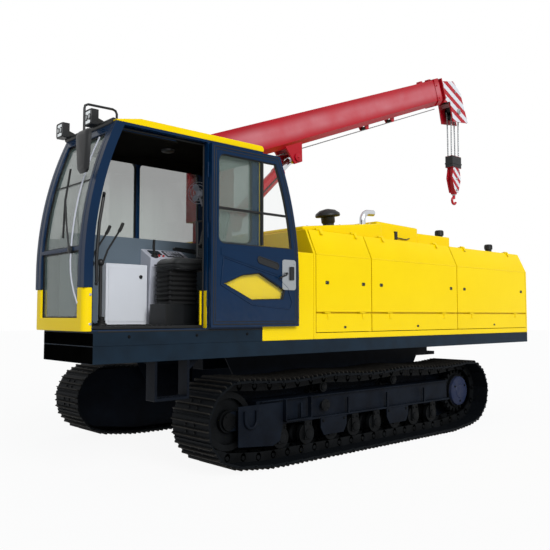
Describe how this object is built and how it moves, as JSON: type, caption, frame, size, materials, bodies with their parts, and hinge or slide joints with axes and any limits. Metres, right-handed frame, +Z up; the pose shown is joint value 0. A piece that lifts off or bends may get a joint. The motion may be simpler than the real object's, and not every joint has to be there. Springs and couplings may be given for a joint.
{
  "type": "tracked pipelayer carrier with loader crane",
  "caption": "Tracked carrier with a side cab, a long engine hood and a telescopic loader crane that lifts pipe and gear by its hook",
  "frame": {"origin": "On the ground under the middle of the whole machine at rest, between the tracks", "axes": "+X forward along the tracks, +Y to the left where the cab stands, +Z up"},
  "size_m": [7.6984, 3.24, 5.4931],
  "materials": {
    "track_steel": "dark cast steel, worn bright on the edges",
    "frame_black": "satin black paint",
    "deck_navy": "satin blue-black paint",
    "cab_navy": "gloss dark blue paint",
    "yellow_paint": "gloss yellow paint",
    "red_paint": "gloss red paint",
    "drive_grey": "satin blue-grey paint",
    "engine_grey": "painted casting",
    "cab_glass": "green-tinted safety glass",
    "chrome": "polished chrome",
    "black_plastic": "grained black plastic",
    "grey_plastic": "light grey moulded plastic",
    "white_paint": "satin white paint",
    "seat_fabric": "black woven seat cloth",
    "rope_steel": "greased wire rope"
  },
  "bodies": {
    "carrier": {"track_left": "track_steel", "track_right": "track_steel", "track_frames": "frame_black", "idlers": "track_steel", "sprockets": "drive_grey", "track_rollers": "frame_black", "carrier_rollers": "frame_black", "car_body": "frame_black", "car_legs": "frame_black", "deck_beams": "frame_black", "tow_plate": "frame_black", "deck_frame": "deck_navy", "boarding_step": "deck_navy", "cab_base": "deck_navy", "cab_floor": "black_plastic", "cab_left_wall": "cab_navy", "cab_right_wall": "cab_navy", "cab_front_frame": "cab_navy", "cab_nose_panel": "yellow_paint", "cab_rear_wall": "yellow_paint", "cab_roof": "yellow_paint", "cab_glass": "cab_glass", "seat_base": "black_plastic", "seat": "seat_fabric", "console": "grey_plastic", "cabinet": "white_paint", "control_levers": "black_plastic", "work_lamps": "black_plastic", "side_mirror": "black_plastic", "bay_panel": "yellow_paint", "hood_front_wall": "yellow_paint", "hood_rear_wall": "yellow_paint", "hood_top": "yellow_paint", "hood_posts": "deck_navy", "hood_rails": "deck_navy", "hood_sills": "yellow_paint", "hood_right_panels": "yellow_paint", "engine_block": "engine_grey", "air_cleaner": "black_plastic", "exhaust": "chrome", "crane_base": "red_paint"},
    "cab_door_leaf": {"cab_door": "cab_navy", "cab_door_glass": "cab_glass"},
    "left_door_1": {"hood_door_1": "yellow_paint"},
    "left_door_2": {"hood_door_2": "yellow_paint"},
    "left_door_3": {"hood_door_3": "yellow_paint"},
    "left_flap_1": {"hood_flap_1": "yellow_paint"},
    "left_flap_2": {"hood_flap_2": "yellow_paint"},
    "left_flap_3": {"hood_flap_3": "yellow_paint"},
    "crane_turret": {"crane_column": "red_paint"},
    "lift_cylinder": {"lift_barrel": "red_paint"},
    "lift_piston": {"lift_rod": "chrome"},
    "boom": {"boom_base": "red_paint"},
    "boom_second": {"boom_mid": "red_paint"},
    "boom_third": {"boom_tip": "red_paint", "head_sheaves": "frame_black"},
    "hook_gear": {"hoist_ropes": "rope_steel", "hook_block": "red_paint"},
    "hook_swivel": {"hook": "red_paint"}
  },
  "joints": [
    {"name": "cab_door_hinge", "type": "hinge", "parent": "carrier", "child": "cab_door_leaf", "pos_m": [2.61918, 1.568, 2.19], "axis": [0, 0, -1], "range_deg": [0, 180]},
    {"name": "hood_door_1_hinge", "type": "hinge", "parent": "carrier", "child": "left_door_1", "pos_m": [0.71714, 1.43, 2.478], "axis": [1, 0, 0], "range_deg": [0, 70]},
    {"name": "hood_door_2_hinge", "type": "hinge", "parent": "carrier", "child": "left_door_2", "pos_m": [-0.66346, 1.43, 2.478], "axis": [1, 0, 0], "range_deg": [0, 70]},
    {"name": "hood_door_3_hinge", "type": "hinge", "parent": "carrier", "child": "left_door_3", "pos_m": [-2.52142, 1.43, 2.478], "axis": [1, 0, 0], "range_deg": [0, 70]},
    {"name": "hood_flap_1_hinge", "type": "hinge", "parent": "carrier", "child": "left_flap_1", "pos_m": [0.71714, 1.569, 1.55], "axis": [1, 0, 0], "range_deg": [0, 80]},
    {"name": "hood_flap_2_hinge", "type": "hinge", "parent": "carrier", "child": "left_flap_2", "pos_m": [-0.66346, 1.569, 1.55], "axis": [1, 0, 0], "range_deg": [0, 80]},
    {"name": "hood_flap_3_hinge", "type": "hinge", "parent": "carrier", "child": "left_flap_3", "pos_m": [-2.52142, 1.569, 1.55], "axis": [1, 0, 0], "range_deg": [0, 80]},
    {"name": "crane_slew", "type": "hinge", "parent": "carrier", "child": "crane_turret", "pos_m": [1.57918, 0.25, 1.685], "axis": [0, 0, 1], "range_deg": [-90, 180]},
    {"name": "boom_luff", "type": "hinge", "parent": "crane_turret", "child": "boom", "pos_m": [1.71918, 0.25, 3.415], "axis": [0, 1, 0], "range_deg": [-13, 49]},
    {"name": "boom_extend", "type": "slide", "parent": "boom", "child": "boom_second", "axis": [-0.9336, 0, 0.3584], "range_m": [0, 3]},
    {"name": "boom_extend_tip", "type": "slide", "parent": "boom_second", "child": "boom_third", "axis": [-0.9336, 0, 0.3584], "range_m": [0, 3]},
    {"name": "lift_cylinder_swing", "type": "hinge", "parent": "crane_turret", "child": "lift_cylinder", "pos_m": [1.32918, 0.25, 2.615], "axis": [0, 1, 0], "range_deg": [-10.57, 37.08]},
    {"name": "lift_piston_stroke", "type": "slide", "parent": "lift_cylinder", "child": "lift_piston", "axis": [-0.7304, 0, 0.6831], "range_m": [-0.1815, 0.6564]},
    {"name": "hook_hang", "type": "hinge", "parent": "boom_third", "child": "hook_gear", "pos_m": [-3.56245, 0.25, 5.00326], "axis": [0, 1, 0], "range_deg": [-50, 14]},
    {"name": "hook_turn", "type": "hinge", "parent": "hook_gear", "child": "hook_swivel", "pos_m": [-3.56245, 0.25, 3.58796], "axis": [0, 0, 1], "continuous": true}
  ],
  "couplings": [
    {"joint": "boom_extend_tip", "follows": "boom_extend", "ratio": 1},
    {"joint": "lift_cylinder_swing", "follows": "boom_luff", "ratio": 0.7364},
    {"joint": "lift_piston_stroke", "follows": "boom_luff", "m_per_rad": 0.75578},
    {"joint": "hook_hang", "follows": "boom_luff", "ratio": -1}
  ]
}
